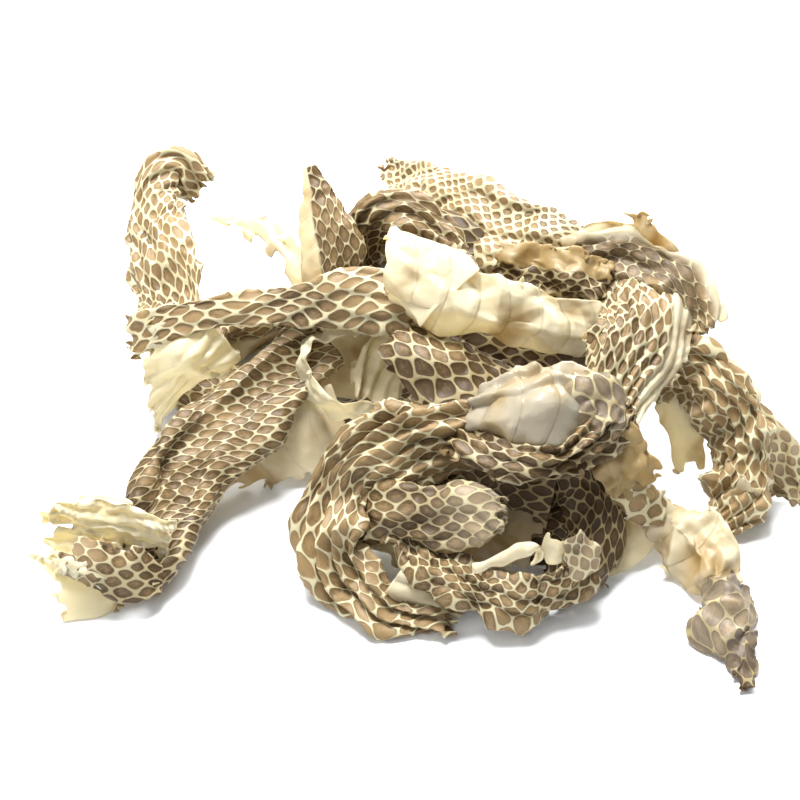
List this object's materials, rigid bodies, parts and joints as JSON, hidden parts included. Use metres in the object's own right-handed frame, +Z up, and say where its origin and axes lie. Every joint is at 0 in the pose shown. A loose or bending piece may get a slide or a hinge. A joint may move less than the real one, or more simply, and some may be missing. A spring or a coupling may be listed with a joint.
{
  "type": "shed snake skin",
  "caption": "Dry shed snake skin, torn and crumpled into a loose heap, with tan scales in a pale raised net and smooth ivory belly scutes.",
  "frame": {"origin": "on the floor under the middle of the heap's bounding box", "axes": "+X along the heap's longest side, +Y away from its front, +Z up"},
  "size_m": [0.1903, 0.1645, 0.0591],
  "materials": {
    "skin": "dry translucent keratin, tan scales in a pale net, low gloss"
  },
  "bodies": {
    "root": {"shed_skin": "skin"}
  },
  "joints": []
}
